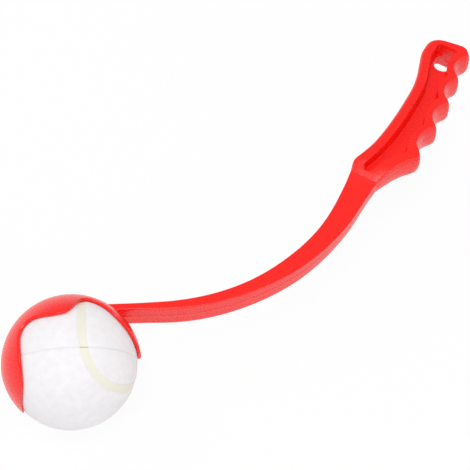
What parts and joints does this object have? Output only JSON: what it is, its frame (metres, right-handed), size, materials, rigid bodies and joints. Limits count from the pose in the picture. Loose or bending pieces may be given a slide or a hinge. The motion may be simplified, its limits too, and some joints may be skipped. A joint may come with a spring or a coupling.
{
  "type": "dog ball thrower",
  "caption": "Hand-held ball thrower for dogs: a claw holding a felt ball, a bent arm and a grip with finger grooves and a hanging hole.",
  "frame": {"origin": "under the middle of the whole part as it lies on its side, level with its lowest point", "axes": "+X from the claw to the end of the grip, +Z square to the plane in which the arm bends"},
  "size_m": [0.3152, 0.0774, 0.0653],
  "materials": {
    "moulding": "glossy red",
    "ball_rubber": "matte dark rubber",
    "ball_felt": "white felt nap",
    "ball_seam": "matte cream rubber"
  },
  "bodies": {
    "thrower": {"thrower": "moulding"},
    "ball": {"core_half_a": "ball_rubber", "core_half_b": "ball_rubber", "felt_panel_a": "ball_felt", "felt_panel_b": "ball_felt", "seam_strip": "ball_seam"}
  },
  "joints": [
    {"name": "ball_slide", "type": "slide", "parent": "thrower", "child": "ball", "axis": [-0.2907, -0.9568, 0], "range_m": [0, 0.075]}
  ]
}
